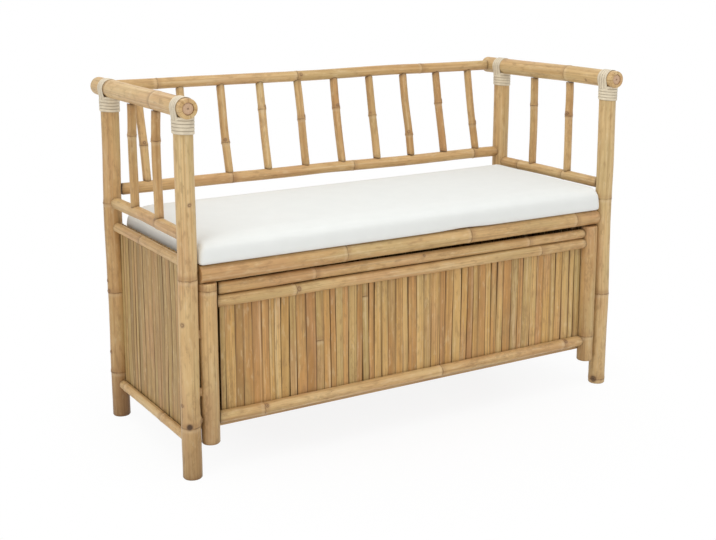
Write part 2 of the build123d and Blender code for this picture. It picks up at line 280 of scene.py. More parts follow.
def keep(geometry, **facts):
    """Stores values on every point under their names, for the later nodes and the material."""
    for name, value in facts.items():
        inputs = {"Geometry": geometry, "Name": name, "Value": value}
        kind = "FLOAT_VECTOR" if is_vector(value) else "FLOAT"
        geometry = put(geometry.tree, "GeometryNodeStoreNamedAttribute", inputs, data_type=kind)
    return geometry


def kept(tree, name, kind="FLOAT"):
    return put(tree, "GeometryNodeInputNamedAttribute", {"Name": name}, data_type=kind)


def point_place(tree):
    return put(tree, "GeometryNodeInputPosition")


def shifted(geometry, offset):
    return put(geometry.tree, "GeometryNodeSetPosition", {"Geometry": geometry, "Offset": offset})


def noise_at(vector, scale, detail=2.0, output="Fac"):
    inputs = {"Vector": vector, "Scale": scale, "Detail": detail}
    return put(vector.tree, "ShaderNodeTexNoise", inputs, output)


def made_plain(piece):
    """Applies a piece's modifiers by taking the mesh that they give."""
    graph = bpy.context.evaluated_depsgraph_get()
    shaped = piece.evaluated_get(graph)
    mesh = bpy.data.meshes.new_from_object(shaped, preserve_all_data_layers=True, depsgraph=graph)
    piece.modifiers.clear()
    piece.data = mesh
    mesh.name = piece.name


def grown(name, tree, sizes, base=None):
    """The plain mesh that a tree grows from its sizes, or from a base mesh of points."""
    piece = in_scene(name, base or bpy.data.meshes.new(name))
    grower = piece.modifiers.new("grow", "NODES")
    grower.node_group = tree
    for item in tree.interface.items_tree:
        if item.name in sizes:
            grower[item.identifier] = sizes[item.name]
    made_plain(piece)
    piece.data.set_sharp_from_angle(angle=math.radians(48))
    return piece


node_outline = [(0, 0), (0.28, 0.1), (0.44, 0.62), (0.475, 1), (0.5, 0.3),
                (0.525, 0.2), (0.58, 0.72), (0.68, 0.3), (1, 0)]


def node_profile(distance, reach):
    """The height of a node's ridges, 0 to 1: a flare up to the scar's lip, a groove, a second low ridge."""
    ridges = put(distance.tree, "ShaderNodeFloatCurve", {"Value": mapped(distance, reach * -1, reach)})
    curve = ridges.node.mapping.curves[0]
    for x, y in node_outline[1:-1]:
        curve.points.new(x, y)
    curve.points[0].location = node_outline[0]
    curve.points[-1].location = node_outline[-1]
    ridges.node.mapping.update()
    return ridges


def nearer(first, second):
    """Of two signed distances, the one nearer to zero."""
    return first + (abs(second) < abs(first)) * (second - first)


def mouthed(geometry, place, corner, inwards, across, radius):
    """Draws a culm's end back along it, out of the round of the culm that it meets."""
    drawn_reach = 2.2
    reach = place - corner
    aside, depth = dot(reach, across), dot(reach, inwards)
    rim = reckon("SQRT", positive(radius * radius - aside * aside))
    push = rim * positive(1.0 - depth / (radius * drawn_reach))
    hollowed = radius > 0.0
    from_rim = positive(depth + push - rim) + (1.0 - hollowed)
    geometry = keep(geometry, end_near=reckon("MINIMUM", from_rim, kept(geometry.tree, "end_near")))
    return shifted(geometry, inwards * (push * hollowed))


def bell(value, middle, width):
    """1 at the middle, falling off over the width on both sides."""
    away = (value - middle) / width
    return reckon("EXPONENT", away * away * -1.0)


node_count, scar_count = 4, 5
culm_sizes = {
    "Start": (0.0, 0.0, 0.0), "End": (0.0, 0.0, 1.0), "Radius": 0.02, "Taper": 0.0, "Node Reach": 0.011,
    "Swell": 0.0009, "Kink": 0.0008, "Girth Step": 0.03, "Bow": 0.0015, "Seed": 0.0, "Tone": 0.5,
    "Tone Step": 0.22, "Start Mouth": 0.0, "End Mouth": 0.0, "Mouth Axis": (0.0, 0.0, 1.0),
    "Planed Side": (0.0, 0.0, 0.0), "Planed Reach": 1.0, "Ring Spacing": 0.002, "Ring Corners": 36,
    "End Round": 0.0004, "Foot Shade": 0.0,
}
for count in range(1, node_count + 1):
    culm_sizes[f"Node {count}"] = -1.0
for count in range(1, scar_count + 1):
    culm_sizes[f"Scar {count}"] = -1.0
    culm_sizes[f"Scar Side {count}"] = (0.0, -1.0, 0.0)
    culm_sizes[f"Scar Width {count}"] = 0.005
    culm_sizes[f"Scar Knob {count}"] = 0.0012
aslant = (0.31, 0.62, 0.72)  # a direction that no pole follows
seed_step, seed_shift = 7.3, (3.7, 1.9, 2.3)
cut_ring = 0.0005
foot_shade_height, foot_shade_rim, rim_strength = 0.2, 0.0035, 0.7
bow_pace, bow_gain = 3.2, 5.0
kink_span, kink_gain = 0.085, 2.0
lump_pace, lump_height = (14.0, 55.0, 55.0), 0.0009
half_grey = (0.5, 0.5, 0.5)
culm_tree, size = begin_tree("bamboo culm", culm_sizes)

# Rings along the culm's axis. Each stretch between two nodes has its own girth and tone.
line = put(culm_tree, "GeometryNodeCurvePrimitiveLine", {"Start": size["Start"], "End": size["End"]})
ring_inputs = {"Curve": line, "Length": size["Ring Spacing"]}
rings = put(culm_tree, "GeometryNodeResampleCurve", ring_inputs, mode="LENGTH")
spline = put(culm_tree, "GeometryNodeSplineParameter")
factor, length = spline.out("Factor"), spline.out("Length")
span = size["End"] - size["Start"]
axis = reckon("NORMALIZE", span)
side = reckon("NORMALIZE", reckon("CROSS_PRODUCT", axis, aslant))
rise = reckon("CROSS_PRODUCT", axis, side)
from_nodes = [length - size[f"Node {count}"] for count in range(1, node_count + 1)]
ring_near = from_nodes[0]
passed = from_nodes[0] > 0.0
for from_node in from_nodes[1:]:
    ring_near = nearer(ring_near, from_node)
    passed = passed + (from_node > 0.0)
stretch = passed + size["Seed"] * seed_step
chance = put(culm_tree, "ShaderNodeTexWhiteNoise", {"W": stretch}, noise_dimensions="1D") - 0.5
swell = node_profile(ring_near, size["Node Reach"]) * size["Swell"]
girth = size["Radius"] * (1.0 - factor * size["Taper"])
girth = girth * (chance * size["Girth Step"] + 1.0) + swell
to_end = reckon("MINIMUM", length, reckon("LENGTH", span) - length)
girth = girth - (to_end < cut_ring) * size["End Round"]
tone = size["Tone"] + chance * size["Tone Step"]
# Painted shade towards the foot: it darkens the lowest 20 cm, most in a thin rim at the cut, scaled per pole.
foot_shading = positive(1.0 - length / foot_shade_height) + reckon("EXPONENT", length / -foot_shade_rim) * rim_strength
foot = foot_shading * size["Foot Shade"]
rings = keep(rings, ring_near=ring_near, along=length, foot=foot, girth=girth, tone=tone, end_near=1.0)

# A slow bow over the whole length, and a small kink at each node.
drift = noise_at(join_axes(length * bow_pace, size["Seed"], 0.0), 1.0, 0.0, "Color") - half_grey
drift_x, drift_y, _ = axes(drift)
bend = reckon("SINE", factor * math.pi) * size["Bow"] * bow_gain
bow = side * (bend * drift_x) + rise * (bend * drift_y)
kink_key = join_axes(length - ring_near, size["Seed"], 0.0)
kink_way = put(culm_tree, "ShaderNodeTexWhiteNoise", {"Vector": kink_key}, "Color", noise_dimensions="3D")
kink_x, kink_y, _ = axes(kink_way - half_grey)
held = reckon("MINIMUM", to_end / kink_span, 1.0)
kinked = positive(1.0 - abs(ring_near) / kink_span) * held * (size["Kink"] * kink_gain)
bow = bow + side * (kinked * kink_x) + rise * (kinked * kink_y)
rings = shifted(rings, bow)
rings = keep(rings, centre=point_place(culm_tree))

# The wall round the rings, with its grain, its branch scars and low lumps.
circle_inputs = {"Resolution": size["Ring Corners"], "Radius": 1.0}
circle = put(culm_tree, "GeometryNodeCurvePrimitiveCircle", circle_inputs)
wall_inputs = {"Curve": rings, "Profile Curve": circle, "Scale": kept(culm_tree, "girth"), "Fill Caps": True}
wall = put(culm_tree, "GeometryNodeCurveToMesh", wall_inputs)
place = point_place(culm_tree)
out = place - kept(culm_tree, "centre", "FLOAT_VECTOR")
grain = join_axes(kept(culm_tree, "along"), dot(out, side), dot(out, rise))
wall = keep(wall, grain=grain + size["Seed"] * seed_shift)
scar_mark, scar_knob = 0.0, 0.0
for count in range(1, scar_count + 1):
    facing = reckon("NORMALIZE", size[f"Scar Side {count}"])
    spot = size["Start"] + axis * size[f"Scar {count}"] + facing * size["Radius"]
    spot = bell(reckon("DISTANCE", place, spot), 0.0, size[f"Scar Width {count}"])
    scar_mark = reckon("MAXIMUM", spot, scar_mark)
    scar_knob = spot * size[f"Scar Knob {count}"] + scar_knob
wall = keep(wall, scar=scar_mark, knob=scar_knob)
lump = (noise_at(kept(culm_tree, "grain", "FLOAT_VECTOR") * lump_pace, 1.0) - 0.5) * lump_height
wall = shifted(wall, reckon("NORMALIZE", out) * (lump + kept(culm_tree, "knob")))

# A side planed flat, and ends hollowed to the culms that they meet.
over = positive(dot(place - size["Start"], size["Planed Side"]) - size["Planed Reach"])
wall = shifted(wall, size["Planed Side"] * (over * -1.0))
across = reckon("NORMALIZE", reckon("CROSS_PRODUCT", axis, size["Mouth Axis"]))
wall = mouthed(wall, place, size["Start"], axis, across, size["Start Mouth"])
wall = mouthed(wall, place, size["End"], axis * -1.0, across, size["End Mouth"])
end_tree(wall, size["Material"])


def blended(factor, first, second, kind="MIX"):
    """A mix of two colours, each an amount or red, green and blue."""
    tree = tree_of(factor, first, second)
    first, second = [(*colour, 1) if isinstance(colour, tuple) else colour for colour in (first, second)]
    return put(tree, "ShaderNodeMix", {0: factor, 6: first, 7: second}, 2, data_type="RGBA", blend_type=kind)


def ramped(value, low, high):
    """0 below low, 1 above high, smooth between."""
    return mapped(value, low, high, interpolation_type="SMOOTHSTEP")


def read(tree, name, output="Fac"):
    return put(tree, "ShaderNodeAttribute", None, output, attribute_name=name)


def begin_finish(name):
    """A material with a Principled shader: gives the material, its tree and the shader's inputs."""
    finish = bpy.data.materials.new(name)
    finish.use_nodes = True
    return finish, finish.node_tree, finish.node_tree.nodes["Principled BSDF"].inputs


def surfaced(shader, colour, roughness, relief, strength=0.3, depth=0.0003):
    """Gives a shader its colour, its roughness and a fine relief."""
    bump_inputs = {"Strength": strength, "Distance": depth, "Height": relief}
    connect(shader["Base Color"], colour)
    connect(shader["Roughness"], roughness)
    connect(shader["Normal"], put(relief.tree, "ShaderNodeBump", bump_inputs))


def palette(factor, colours):
    """A ramp through evenly spaced colours."""
    ramp = put(factor.tree, "ShaderNodeValToRGB", {0: factor})
    stops = ramp.node.color_ramp.elements
    for count in range(1, len(colours) - 1):
        stops.new(count / (len(colours) - 1))
    for stop, colour in zip(stops, colours):
        stop.color = (*colour, 1)
    return ramp


def stained_and_shaded(skin, stains_and_shades):
    """The skin under a row of marks, some real stains and some painted shade: where each lies, how strong it
    is, and its colour.
    """
    for mask, strength, colour in stains_and_shades:
        skin = blended(mask * strength, skin, colour)
    return skin


def bamboo(name, colours, spread, grained, roughness):
    """Dried bamboo: fibres along the culm, cloudy patches, dark scar lines and knots, painted shade in a lost
    branch's hollow and along a split slat's edges, painted shade towards a foot, dirt and painted shade in
    the joints.
    """
    finish, tree, shader = begin_finish(name)
    grain = read(tree, "grain", "Vector")

    def along_grain(length, width, detail=2.0):
        return noise_at(grain * (length, width, width), 1.0, detail)

    fibres = along_grain(6.0, 430.0, 3.0)
    clouds = along_grain(7.0, 38.0, 4.0)
    streaks = along_grain(2.6, 150.0)
    lines = along_grain(1.6, 300.0)
    mottle = along_grain(38.0, 120.0, 4.0)
    warmth = along_grain(4.0, 20.0)
    specks = along_grain(150.0, 520.0, 1.0)
    blotches = ramped(along_grain(8.0, 26.0, 3.0), 0.54, 0.66)
    blotches = blotches * ramped(along_grain(110.0, 260.0), 0.42, 0.58)
    skin = palette(read(tree, "tone") + (clouds - 0.5) * spread, colours)
    skin = stained_and_shaded(skin, [
        (ramped(warmth, 0.5, 0.68), 0.5, (0.55, 0.3, 0.14)),  # reddish stretches
        (ramped(warmth, 0.48, 0.3), 0.35, (0.48, 0.385, 0.17)),  # greenish stretches
        (ramped(streaks, 0.53, 0.74), 0.5, (0.34, 0.18, 0.06)),  # dark streaks
        (ramped(streaks, 0.45, 0.24), 0.5, (0.74, 0.58, 0.34)),  # pale streaks
        (ramped(lines, 0.55, 0.72), grained, (0.26, 0.14, 0.05)),  # long thin lines
        (ramped(mottle, 0.53, 0.7), 0.42, (0.32, 0.18, 0.07)),  # dark mottling
        (blotches, 0.32, (0.29, 0.17, 0.07)),  # weather blotches
        (ramped(mottle, 0.45, 0.28), 0.3, (0.76, 0.6, 0.36)),  # pale mottling
        (ramped(fibres, 0.45, 0.75), grained, (0.3, 0.17, 0.065)),  # fibres
    ])
    # Painted shade towards a pole's foot.
    skin = blended(read(tree, "foot") * (clouds + 0.5), skin, (0.43, 0.37, 0.32), "MULTIPLY")
    raggedness, dirt_and_shade_fade = 0.003, -260.0
    ragged = read(tree, "ring_near") + (mottle - 0.5) * raggedness
    broken = ramped(along_grain(20.0, 85.0), 0.36, 0.6) * 0.5 + 0.3
    scar = read(tree, "scar") * (mottle * 0.6 + 0.7)
    # Painted shade along the edges of a split slat, broken up by the streaks.
    painted_edge_shade = abs(read(tree, "across") * 2.0) ** 8.0 * ramped(streaks, 0.3, 0.6)
    # Dirt and painted shade near a joint: darkest at the mouth, fading within a few millimetres.
    joint_dirt_and_shade = reckon("EXPONENT", read(tree, "end_near") * dirt_and_shade_fade)
    skin = stained_and_shaded(skin, [
        (bell(ragged, -0.005, 0.0035), 0.2, (0.74, 0.6, 0.4)),  # pale wax before a node
        (bell(ragged, 0.005, 0.006), warmth * 0.8, (0.34, 0.18, 0.07)),  # brown band after it
        (bell(ragged, 0.0004, 0.0012), broken, (0.15, 0.075, 0.03)),  # sheath scar
        (ramped(scar, 0.08, 0.4), 0.35, (0.36, 0.2, 0.1)),  # halo of a branch scar
        (bell(scar, 0.62, 0.16), 0.7, (0.14, 0.07, 0.03)),  # its dark ring
        (ramped(scar, 0.84, 0.94), 0.8, (0.08, 0.04, 0.018)),  # its pith
        (ramped(read(tree, "knob"), -0.0003, -0.002), 0.95, (0.07, 0.036, 0.016)),  # painted shade in the hollow of a lost branch
        (ramped(specks, 0.73, 0.8), 0.5, (0.2, 0.1, 0.04)),  # specks
        (painted_edge_shade, 0.85, (0.13, 0.07, 0.028)),  # painted shade at the edges of a split slat
        (joint_dirt_and_shade, 0.75, (0.1, 0.055, 0.022)),  # dirt and painted shade in a joint
    ])
    rough = mapped(clouds, 0.0, 1.0, roughness - 0.07, roughness + 0.1)
    surfaced(shader, skin, rough, fibres + mottle * 0.6, 0.4, 0.0004)
    shader["Specular IOR Level"].default_value = 0.35
    return finish


pole_colours = [(0.49, 0.375, 0.165), (0.68, 0.478, 0.228), (0.625, 0.405, 0.178),
                (0.56, 0.342, 0.14), (0.46, 0.245, 0.085)]
pole_bamboo = bamboo("bamboo pole", pole_colours, 0.8, 0.32, 0.44)
pole_seeds = iter(range(1, 200))
skin_depth = 0.0003


def stand_for(piece, body, slot, *nodes):
    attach(piece, body)
    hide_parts(*nodes)
    return piece


def culm(node, start, end, radius, body="frame", nodes=(), scars=(), **sizes):
    """One bamboo pole in place of a CAD node. Its nodes are distances along it, and each of its scars
    is a distance along it, the side that it faces, its width and the height of its knob."""
    sizes = {label.replace("_", " ").title(): value for label, value in sizes.items()}
    sizes.update({f"Node {count}": along for count, along in enumerate(nodes, 1)})
    for count, (along, facing, width, knob) in enumerate(scars, 1):
        sizes.update({f"Scar {count}": along, f"Scar Side {count}": facing})
        sizes.update({f"Scar Width {count}": width, f"Scar Knob {count}": knob})
    sizes.update({"Start": tuple(start), "End": tuple(end), "Radius": radius - skin_depth})
    sizes.update({"Seed": float(next(pole_seeds)), "Material": pole_bamboo})
    return stand_for(grown(node + "_culm", culm_tree, sizes), body, "bamboo_pole", node)


def middle_of(node):
    low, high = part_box(node)
    return (low + high) / 2


def half_of(node, way):
    """Half of a node's size along x, y or z: for a pole, its radius."""
    low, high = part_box(node)
    return (getattr(high, way) - getattr(low, way)) / 2


def ends_of(node, way):
    """The two ends of a pole's axis, which runs along x, y or z through the middle of its CAD box."""
    ends = middle_of(node), middle_of(node)
    for end, corner in zip(ends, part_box(node)):
        setattr(end, way, getattr(corner, way))
    return ends


post_radius = half_of("post_rear_left", "x")
post_growth = {
    ("front", "left"): dict(nodes=(0.106, 0.402), tone=0.4, foot_shade=0.75, scars=(
        (0.55, (0.05, -1, 0), 0.0045, 0.0006), (0.11, (-0.55, -0.84, 0), 0.0068, -0.0026),
        (0.118, (0.85, -0.5, 0), 0.007, 0.0048), (0.316, (-0.9, -0.45, 0), 0.0055, 0.0006),
        (0.153, (-1, -0.2, 0), 0.0045, 0.002))),
    ("front", "right"): dict(nodes=(0.01, 0.223, 0.453), tone=0.27, foot_shade=0.15, scars=(
        (0.012, (-0.9, -0.4, 0), 0.009, -0.0016),)),
    ("rear", "left"): dict(nodes=(0.103, 0.286, 0.485), tone=0.68, foot_shade=0.85, swell=0.0014, scars=(
        (0.15, (-1, -0.15, 0), 0.0045, 0.003), (0.29, (-0.95, -0.3, 0), 0.006, 0.0028),
        (0.312, (-1, -0.1, 0), 0.0045, 0.0024), (0.49, (-0.2, -0.9, 0), 0.004, 0.001))),
    ("rear", "right"): dict(nodes=(0.12, 0.36), tone=0.4, foot_shade=0.5, swell=0.0014, scars=(
        (0.37, (0.6, 0.8, 0), 0.006, 0.0015),)),
}
for (row, name), growth in post_growth.items():
    node = f"post_{row}_{name}"
    culm(node, *ends_of(node, "z"), post_radius, bow=0.0016, girth_step=0.05, end_round=0.0015, **growth)


# Arms
# Two thick culms lie over the posts from front to back. Their hollow front ends are closed with turned
# wooden plugs, and their rear ends are plain saw cuts.
plug_low, plug_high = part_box("arm_end_plugs")
plug_radius = half_of("arm_end_plugs", "z")
bore_spare, bore_gap = 0.0005, 0.0011
bore_depth = plug_high.y - cad_low.y + bore_spare
arm_radius = half_of("arm_rail_left", "z")
arm_growth = {
    "left": dict(nodes=(0.15, 0.4), tone=0.36),
    "right": dict(nodes=(0.163, 0.42), tone=0.36, scars=((0.085, (-0.9, 0, -0.35), 0.0035, 0.0004),)),
}
for name, growth in arm_growth.items():
    node = f"arm_rail_{name}"
    arm = culm(node, *ends_of(node, "y"), arm_radius, bow=0.0008, end_round=0.0007, **growth)
    shell = bmesh.new()
    shell.from_mesh(arm.data)
    cap = min(shell.faces, key=lambda face: face.calc_center_median().y)
    wall_left = arm_radius - skin_depth - plug_radius - bore_gap
    bmesh.ops.inset_individual(shell, faces=[cap], thickness=wall_left)
    bore_floor = bmesh.ops.extrude_discrete_faces(shell, faces=[cap])["faces"]
    bmesh.ops.translate(shell, verts=bore_floor[0].verts, vec=(0, bore_depth, 0))
    shell.to_mesh(arm.data)
    shell.free()


def turned(name, outline, centre, corners, finish):
    """A closed piece turned about an axis along Y: outline is radius and place along the axis."""
    shape = bmesh.new()
    turns = [2 * math.pi * k / corners for k in range(corners)]
    loops = []
    for radius, y in outline:
        spots = [(centre.x + radius * math.cos(a), y, centre.z + radius * math.sin(a)) for a in turns]
        loops.append([shape.verts.new(spot) for spot in spots])
    for ring, following in zip(loops, loops[1:]):
        for k in range(corners):
            shape.faces.new((ring[k], ring[k - 1], following[k - 1], following[k]))
    shape.faces.new(loops[0])
    shape.faces.new(loops[-1][::-1])
    bmesh.ops.recalc_face_normals(shape, faces=shape.faces)
    for face in shape.faces:
        face.smooth = True
    mesh = bpy.data.meshes.new(name)
    shape.to_mesh(mesh)
    shape.free()
    mesh.materials.append(finish)
    mesh.set_sharp_from_angle(angle=math.radians(40))
    return in_scene(name, mesh)


def rest_place(tree):
    """Where a point of a surface is when the bench is at rest."""
    return put(tree, "ShaderNodeTexCoord", output="Object")


def plug_finish():
    """Pinkish end-grain wood with growth rings about the plug's pith."""
    finish, tree, shader = begin_finish("turned plug")
    ring_wander, ring_pace = 0.0012, 3600.0
    place = rest_place(tree)
    x, _, z = axes(place)
    aside = abs(x) - abs(middle_of("post_front_left").x)
    from_pith = reckon("LENGTH", join_axes(aside, z - middle_of("arm_end_plugs").z, 0.0))
    years = reckon("SINE", (from_pith + noise_at(place, 160.0) * ring_wander) * ring_pace)
    wood = blended(ramped(years, 0.1, 0.95), (0.62, 0.42, 0.27), (0.46, 0.27, 0.14))
    wood = blended(bell(from_pith, 0.0, 0.0016), wood, (0.16, 0.085, 0.04))
    surfaced(shader, wood, 0.6, years)
    return finish


sides = {"left": -1, "right": 1}
plug_wood = plug_finish()
pith_radius, pith_slope, pith_depth = 0.0012, 0.001, 0.0012
crown_share, face_round, face_lift, rim_round = 0.6, 0.0018, 0.0003, 0.0016
plug_corners = 36
plug_outline = [
    (pith_radius, plug_low.y + pith_depth), (pith_radius + pith_slope, plug_low.y + face_lift),
    (crown_share * plug_radius, plug_low.y), (plug_radius - face_round, plug_low.y + face_lift),
    (plug_radius, plug_low.y + rim_round), (plug_radius, plug_high.y),
]
for name in sides:
    centre = middle_of(f"arm_rail_{name}")
    plug = turned(f"arm_plug_{name}", plug_outline, centre, plug_corners, plug_wood)
    stand_for(plug, "frame", "plug_wood", "arm_end_plugs")


# Cane lashings
# Split cane ties each arm to its posts: flat straps go over the arm side by side and down the post's
# sides, and one long cane is wound tightly round the post over their ends.
def set_on(points, piece, **placing):
    """A copy of a piece on every point, placed by a Rotation or a Scale where they are given."""
    inputs = {"Points": points, "Instance": piece, **placing}
    return put(points.tree, "GeometryNodeInstanceOnPoints", inputs)


def flat_cane(path, width, thickness):
    """A flat cane with rounded edges along a path, its width square to the path's normal."""
    edge_power, edge_loss = 4.0, 0.75
    tree = path.tree
    section = put(tree, "GeometryNodeCurvePrimitiveQuadrilateral", {"Width": thickness, "Height": width})
    section = put(tree, "GeometryNodeResampleCurve", {"Curve": section, "Count": 24})
    x, y, _ = axes(point_place(tree))
    to_edge = abs(y) * 2.0 / width
    section = keep(section, to_edge=to_edge)
    rounded = join_axes(x * (1.0 - to_edge ** edge_power * edge_loss), y, 0.0)
    section = put(tree, "GeometryNodeSetPosition", {"Geometry": section, "Position": rounded})
    return put(tree, "GeometryNodeCurveToMesh", {"Curve": path, "Profile Curve": section, "Fill Caps": True})


lashing_sizes = {
    "Post Radius": 0.0195, "Arm Radius": 0.0195, "Arm Height": 0.732, "Binding Foot": 0.681, "Turns": 4.4,
    "Cane Width": 0.0066, "Cane Thickness": 0.0021, "Strap Count": 4, "Strap Width": 0.0075,
    "Strap Thickness": 0.0015, "Strap Foot": 0.706,
}
cane_share, strap_share = 0.93, 0.95
wound_at, wound_out, strap_at = 0.55, 0.75, 0.6
draw_in_power = 1.3
lashing_tree, size = begin_tree("cane lashing", lashing_sizes)
binding_inputs = {
    "Resolution": 56, "Rotations": size["Turns"],
    "Start Radius": size["Post Radius"] + size["Cane Thickness"] * wound_at,
    "End Radius": size["Post Radius"] + size["Cane Thickness"] * wound_out,
    "Height": size["Turns"] * size["Cane Width"],
}
wound = put(lashing_tree, "GeometryNodeCurveSpiral", binding_inputs)
wound = put(lashing_tree, "GeometryNodeSetCurveNormal", {"Curve": wound}, mode="Z_UP")
binding = flat_cane(wound, size["Cane Width"] * cane_share, size["Cane Thickness"])
lift = join_axes(0.0, 0.0, size["Binding Foot"] + size["Cane Width"] * 0.5)
binding = put(lashing_tree, "GeometryNodeTransform", {"Geometry": binding, "Translation": lift})

strap_radius = size["Arm Radius"] + size["Strap Thickness"] * strap_at
strap_drop = size["Arm Height"] - size["Strap Foot"]
half_turn = strap_radius * math.pi
strap_line = put(lashing_tree, "GeometryNodeCurvePrimitiveLine", {"End": (0.0, 0.0, 1.0)})
strap_line = put(lashing_tree, "GeometryNodeResampleCurve", {"Curve": strap_line, "Count": 64})
walked_share = put(lashing_tree, "GeometryNodeSplineParameter", output="Factor")
walked = walked_share * (half_turn + strap_drop * 2.0)
over_arm = reckon("MINIMUM", positive((walked - strap_drop) / strap_radius), math.pi)
before, after = positive(strap_drop - walked), positive(walked - (strap_drop + half_turn))
strap_x = reckon("COSINE", over_arm) * (strap_radius * -1.0)
strap_z = size["Arm Height"] + reckon("SINE", over_arm) * strap_radius - (before + after)
strap_inputs = {"Geometry": strap_line, "Position": join_axes(strap_x, 0.0, strap_z)}
strap_path = put(lashing_tree, "GeometryNodeSetPosition", strap_inputs)
strap_path = put(lashing_tree, "GeometryNodeSetCurveNormal", {"Curve": strap_path}, mode="MINIMUM_TWIST")
strap = flat_cane(strap_path, size["Strap Width"] * strap_share, size["Strap Thickness"])
first_strap = (size["Strap Count"] - 1.0) * -0.5 * size["Strap Width"]
row_inputs = {"Count": size["Strap Count"], "Start Location": join_axes(0.0, first_strap, 0.0),
              "Offset": join_axes(0.0, size["Strap Width"], 0.0)}
straps = set_on(put(lashing_tree, "GeometryNodeMeshLine", row_inputs), strap)
straps = put(lashing_tree, "GeometryNodeRealizeInstances", {"Geometry": straps})
at_x, at_y, at_z = axes(point_place(lashing_tree))
post_half = reckon("SQRT", size["Post Radius"] * size["Post Radius"] - at_y * at_y)
lowered = positive((size["Arm Height"] - at_z) / strap_drop) ** draw_in_power
draw_in = (size["Post Radius"] - post_half) * lowered * reckon("SIGN", at_x)
straps = shifted(straps, join_axes(draw_in * -1.0, 0.0, 0.0))
lashing = put(lashing_tree, "GeometryNodeJoinGeometry")
for part in (binding, straps):
    connect(lashing.node.inputs[0], part)
end_tree(set_on(size["Geometry"], lashing), size["Material"])


def cane_finish():
    """Pale split cane: a waxy cream skin with faint grey streaks, and painted shade at the edges between the
    turns.
    """
    finish, tree, shader = begin_finish("split cane")
    place = rest_place(tree)
    streaks = noise_at(place * (90.0, 90.0, 900.0), 1.0)
    cane = blended(ramped(noise_at(place, 70.0), 0.3, 0.7), (0.77, 0.67, 0.495), (0.66, 0.565, 0.415))
    cane = stained_and_shaded(cane, [
        (ramped(streaks, 0.5, 0.8), 0.35, (0.42, 0.36, 0.26)),  # grey streaks
        (read(tree, "to_edge") ** 5.0, 0.55, (0.27, 0.21, 0.135)),  # painted shade at the edges, between the turns
    ])
    surfaced(shader, cane, 0.5, streaks)
    return finish


def point_mesh(name, places):
    mesh = bpy.data.meshes.new(name)
    mesh.from_pydata(places, [], [])
    return mesh


post_places = [middle_of(f"post_{row}_{name}") for row, name in post_growth]
post_tops = point_mesh("post_tops", [(place.x, place.y, 0) for place in post_places])
lashing_fit = {"Post Radius": post_radius, "Arm Radius": arm_radius,
               "Arm Height": middle_of("arm_rail_left").z, "Material": cane_finish()}
lashings = grown("cane_lashings", lashing_tree, lashing_fit, post_tops)
stand_for(lashings, "frame", "cane", "cane_bindings", "cane_saddle_straps")


# Arm sides
# Under each arm a thinner rail runs between the posts, fish-mouthed to them, and two spindles stand on
# it up to the arm. Each end is hollowed to the pole that it meets.
mouth_gap = 0.0009


def between(node, start, end, radius, neighbours, mouth_axis, gap=mouth_gap, **growth):
    """A pole from one neighbour's axis to another's, its ends hollowed to the radius of each."""
    first, last = neighbours
    mouths = dict(start_mouth=first + gap, end_mouth=last + gap, mouth_axis=mouth_axis)
    return culm(node, start, end, radius, **mouths, **growth)


spindle_form = dict(kink=0.0016, swell=0.0016)
spindle_growth = {
    ("left", "front"): dict(nodes=(0.167,), tone=0.76), ("left", "rear"): dict(nodes=(0.16,), tone=0.7),
    ("right", "front"): dict(nodes=(0.1455,), tone=0.58, scars=((0.153, (-0.95, -0.3, 0), 0.0055, 0.0035),)),
    ("right", "rear"): dict(nodes=(0.158,), tone=0.6),
}
side_rail_growth = {
    "left": dict(nodes=(0.13,), tone=0.42, scars=((0.134, (-0.6, 0, 0.8), 0.005, 0.0012),)),
    "right": dict(nodes=(0.14, 0.31), tone=0.4),
}
for name, growth in side_rail_growth.items():
    node = f"arm_side_rail_{name}"
    middle = middle_of(node)
    rail_radius = half_of(node, "z")
    front = (middle.x, middle_of(f"post_front_{name}").y, middle.z)
    rear = (middle.x, middle_of(f"post_rear_{name}").y, middle.z)
    between(node, front, rear, rail_radius, (post_radius, post_radius), (0, 0, 1), **growth)
    for row in ("front", "rear"):
        node = f"arm_spindle_{row}_{name}"
        y = middle_of(node).y
        foot, top = (middle.x, y, middle.z), (middle.x, y, middle_of(f"arm_rail_{name}").z)
        between(node, foot, top, half_of(node, "x"), (rail_radius, arm_radius), (0, 1, 0), bow=0.0018,
                tone_step=0.5, **spindle_form, **spindle_growth[name, row])


# Back
# A lower rail between the rear posts and a top rail between the arms' rear ends carry ten thin spindles
# that lean back a little. All are whole young culms with their nodes left on and fish-mouthed ends.
lower, upper = middle_of("back_lower_rail"), middle_of("back_top_rail")
lower_radius, upper_radius = half_of("back_lower_rail", "z"), half_of("back_top_rail", "z")
post_x = middle_of("post_rear_right").x
between("back_lower_rail", (-post_x, lower.y, lower.z), (post_x, lower.y, lower.z), lower_radius,
        (post_radius, post_radius), (0, 0, 1), nodes=(0.282, 0.604, 0.963), tone=0.62)
between("back_top_rail", (-post_x, upper.y, upper.z), (post_x, upper.y, upper.z), upper_radius,
        (arm_radius, arm_radius), (0, 1, 0), nodes=(0.124, 0.476, 0.828), tone=0.6,
        scars=((0.481, (0.3, -0.9, 0.3), 0.005, 0.0015),))
branch_above_node = 0.008
spindle_tone, spindle_tone_spread = 0.63, 0.08
spindle_node_shares = (0.4, 0.47, 0.36, 0.67, 0.54, 0.63, 0.52, 0.28, 0.6, 0.33)
back_spindles = sorted(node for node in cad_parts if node.startswith("back_spindle"))
for i, (node, share) in enumerate(zip(back_spindles, spindle_node_shares)):
    x = middle_of(node).x
    foot, top = Vector((x, lower.y, lower.z)), Vector((x, upper.y, upper.z))
    node_at = (top - foot).length * share
    branch = (node_at + branch_above_node, (math.sin(5 * i), -0.8, 0), 0.0045, 0.0014)
    tone = spindle_tone + spindle_tone_spread * math.sin(1.7 * i)
    between(node, foot, top, half_of(node, "x"), (lower_radius, upper_radius), (1, 0, 0), nodes=(node_at,),
            scars=(branch,), bow=0.0016, tone=tone, tone_step=0.6, **spindle_form)


